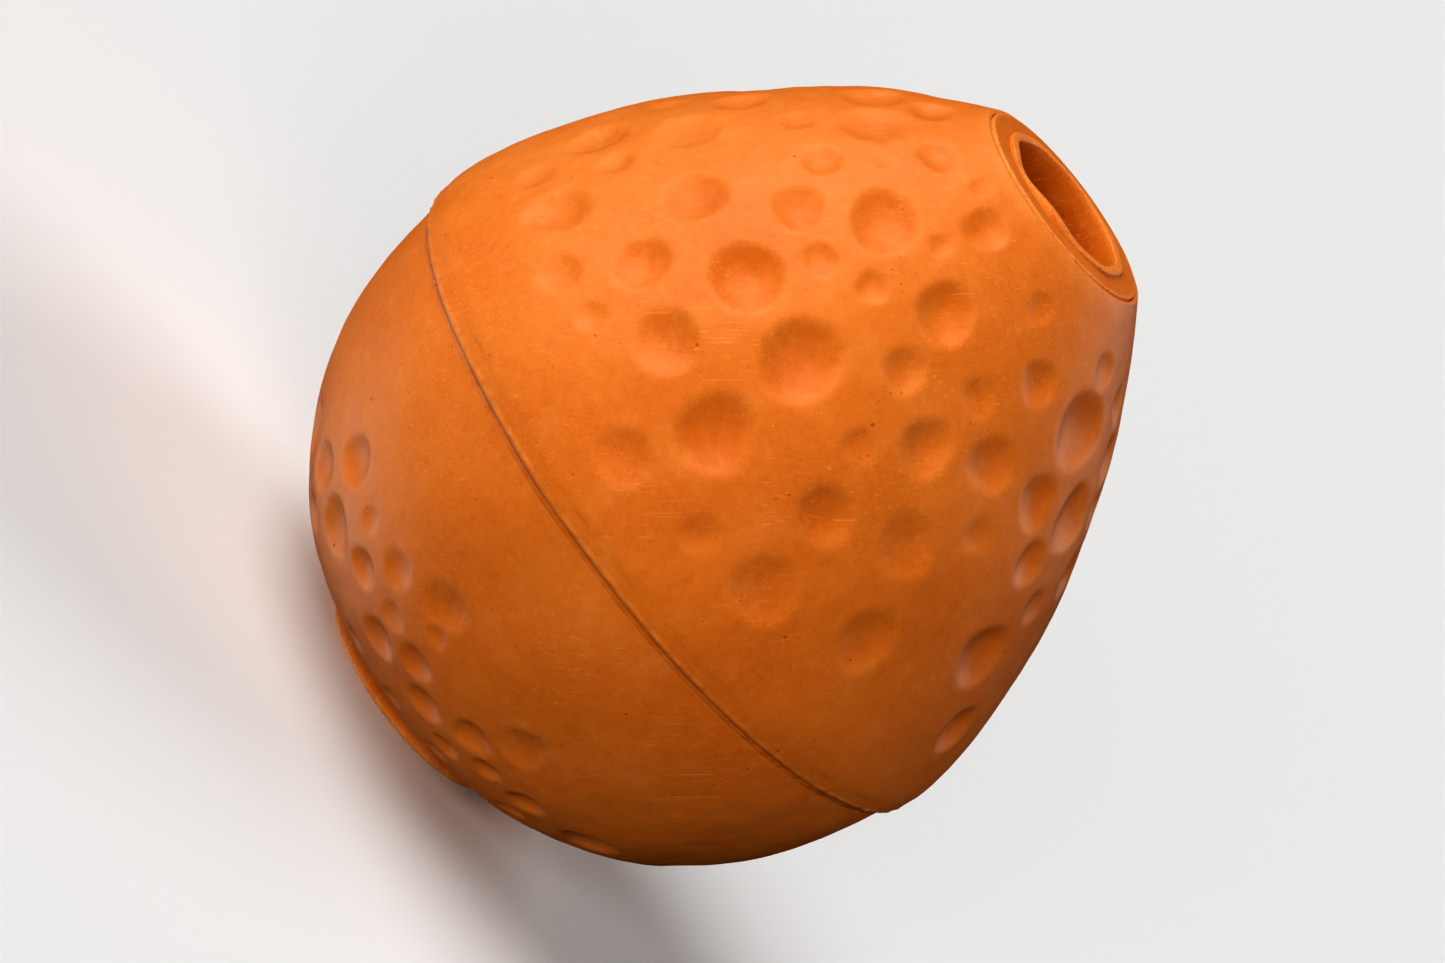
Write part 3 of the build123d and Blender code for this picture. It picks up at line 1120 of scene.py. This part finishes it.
@dataclass(frozen=True)
class Studio:
    """Pale floor, soft light and the camera."""

    lights: tuple[SoftLight, ...] = (
        SoftLight("overhead_box", clock=90, tilt=15, strength=2.2, spread=60.0),
        SoftLight("left_strip", clock=180, tilt=-30, strength=0.8),
        SoftLight("right_strip", clock=0, tilt=-30, strength=0.8),
        SoftLight("camera_fill", clock=0, tilt=90, strength=1.6, shines=False),
    )
    room: float = 0.08  # brightness of the backdrop away from the horizon
    horizon: float = 0.66
    horizon_fade: tuple[float, float] = (0.012, 0.004)  # squared heights it fades in between
    floor_size: float = 12.0
    floor_colour: Colour = (0.86, 0.855, 0.85, 1.0)
    floor_roughness: float = 0.9
    mottle: float = 0.03  # how much the floor's tone wanders
    mottle_colour: Colour = (0.7, 0.7, 0.7, 1.0)
    elevation: float = math.radians(15.0)
    roll: float = math.radians(53.43)
    distance: float = 1.5
    lens: float = 321.0
    sensor_width: float = 36.0
    sight: float = 100.0  # the furthest the camera sees
    aim_across: float = 2.0  # from the middle of the seam, in millimetres
    aim_up: float = 6.6

    def set_world(self) -> None:
        """Makes the room: a backdrop with a light horizon, which adds no light of its own."""
        world = bpy.data.worlds.new("room")
        world.use_nodes = True
        world.cycles_visibility.diffuse = world.cycles_visibility.glossy = False
        bpy.context.scene.world = world
        bench = NodeBench(world.node_tree)
        direction = bench.node("ShaderNodeTexCoord", {}, {}, "Generated")
        height = bench.node("ShaderNodeSeparateXYZ", {}, {0: direction}, "Z")
        fade = (height * height).between(*self.horizon_fade)
        glow = self.room + (self.horizon - self.room) * fade
        light = bench.node(
            "ShaderNodeBackground", {}, {"Color": (1.0, 1.0, 1.0, 1.0), "Strength": glow}
        )
        bench.node("ShaderNodeOutputWorld", {}, {"Surface": light})

    def lay_floor(self) -> bpy.types.Object:
        """Lays the pale table under the toy, which lets the lights beneath it through."""
        bm = bmesh.new()
        bmesh.ops.create_grid(bm, x_segments=2, y_segments=2, size=self.floor_size / 2)
        mesh = bpy.data.meshes.new("floor")
        bm.to_mesh(mesh)
        bm.free()
        material = bpy.data.materials.new("pale_floor")
        material.use_nodes = True
        bench = NodeBench(material.node_tree)
        place = bench.node("ShaderNodeTexCoord", {}, {}, "Object")
        tone = bench.node("ShaderNodeTexNoise", {}, {"Vector": place, "Scale": 3.0, "Detail": 2.0})
        shade = bench.mix(self.mottle * tone, self.floor_colour, self.mottle_colour)
        surface = bench.node(
            "ShaderNodeBsdfPrincipled",
            {},
            {"Base Color": shade, "Roughness": self.floor_roughness},
        )
        bench.node("ShaderNodeOutputMaterial", {}, {"Surface": surface})
        mesh.materials.append(material)
        floor = bpy.data.objects.new("floor", mesh)
        floor.visible_diffuse = floor.visible_glossy = floor.visible_shadow = False
        bpy.context.scene.collection.objects.link(floor)
        return floor

    def view(self) -> Matrix:
        """The camera's right, top and back, as columns: it is a little above and rolled over."""
        across = Vector((1, 0, 0))
        up = Vector((0, math.sin(self.elevation), math.cos(self.elevation)))
        right = math.cos(self.roll) * across + math.sin(self.roll) * up
        top = math.cos(self.roll) * up - math.sin(self.roll) * across
        return Matrix((right, top, across.cross(up))).transposed()

    def set_camera(self, seats: Seats) -> bpy.types.Object:
        """Puts the camera in front of the toy.

        Args:
            seats: The levels of the toy.

        Returns:
            The camera.
        """
        up = Vector((0, math.sin(self.elevation), math.cos(self.elevation)))
        aim = MM * (Vector((self.aim_across, 0, seats.seam_z)) + self.aim_up * up)
        view = self.view()
        data = bpy.data.cameras.new("camera")
        data.sensor_fit = "HORIZONTAL"
        data.sensor_width = self.sensor_width
        data.lens = self.lens
        data.clip_end = self.sight
        camera = bpy.data.objects.new("camera", data)
        camera.matrix_world = Matrix.Translation(aim + self.distance * view.col[2]) @ view.to_4x4()
        bpy.context.scene.collection.objects.link(camera)
        bpy.context.scene.camera = camera
        return camera

    def set_up(self, seats: Seats) -> None:
        """Sets up everything around the toy."""
        self.set_camera(seats)
        self.set_world()
        self.lay_floor()
        for light in self.lights:
            light.place(self.view())
        bpy.context.scene.view_settings.view_transform = "Standard"
        bpy.context.scene.view_settings.look = "High Contrast"


def main() -> None:
    """Builds and dresses the toy."""
    logging.basicConfig(level=logging.INFO, format="%(name)s %(message)s")
    seats = Seats.read()
    Studio().set_up(seats)
    moulded = RubberFinish("bloomed_orange_rubber").make()
    # Darker copy of the rubber for the throat insert: painted shade on its face and in the bore
    throat = RubberFinish(
        "smooth_shaded_orange_rubber",
        (0.67, 0.18, 0.014, 1.0),
        lumps=0.02,
        pits=0.03,
        gloss=0.2,
        hollow_shade=0.9,
    ).make()
    bonding = RubberFinish(
        "bonding_orange_rubber", (0.79, 0.23, 0.026, 1.0), hollow_shade=0.6, scuffs=0.3
    ).make()
    # Darker copy of the rubber for the pad: painted shade on the pad's side
    painted_shade = RubberFinish(
        "shaded_pad_orange_rubber", (0.54, 0.135, 0.012, 1.0), lumps=0.02, pits=0.03
    ).make()
    for part, finish in (
        (UpperShell(seats), moulded),
        (LowerShell(seats), moulded),
        (SeamBead(seats), bonding),
        (MouthRing(seats), throat),
        (BasePad(seats), painted_shade),
    ):
        part.build(finish)


if __name__ == "__main__":
    main()
